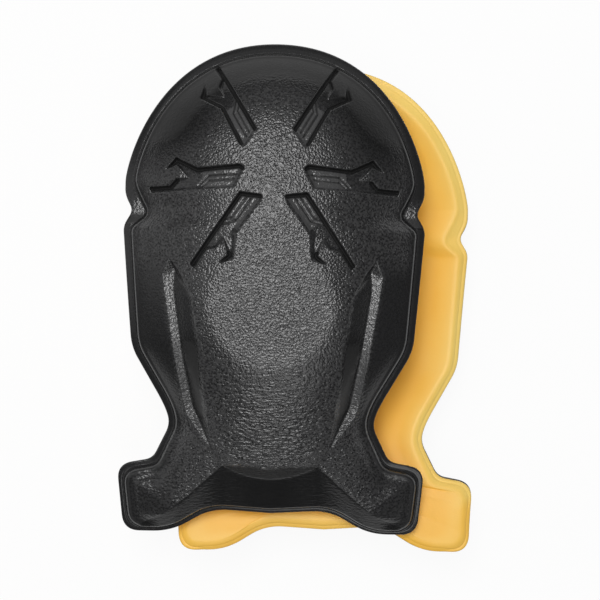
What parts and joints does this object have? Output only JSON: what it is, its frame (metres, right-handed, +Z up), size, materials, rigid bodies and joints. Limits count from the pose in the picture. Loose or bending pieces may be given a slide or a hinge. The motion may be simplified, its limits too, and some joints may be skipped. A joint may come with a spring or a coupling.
{
  "type": "pair of knee pads",
  "caption": "Contoured foam knee pads with a domed head, side notches, a waist and wings, each a black ribbed shell with a yellow cushion in its knee hollow.",
  "frame": {"origin": "middle of the pair's footprint, on the surface that the lower pad's crown rests on", "axes": "+Y along the pads towards their domed heads, +Z up, from the lower pad's crown to the upper pad's crown"},
  "size_m": [0.1782, 0.2562, 0.0893],
  "materials": {
    "shell_foam": "moulded closed-cell foam, fine pebbled grain, satin",
    "cushion_foam": "moulded impact foam with a smooth matt skin"
  },
  "bodies": {
    "rear_pad": {"rear_pad_shell": "shell_foam", "rear_pad_cushion": "cushion_foam"},
    "front_pad": {"front_pad_shell": "shell_foam", "front_pad_cushion": "cushion_foam"}
  },
  "joints": [
    {"name": "pad_lift", "type": "slide", "parent": "rear_pad", "child": "front_pad", "axis": [0, 0, 1], "range_m": [0, 0.12]}
  ]
}
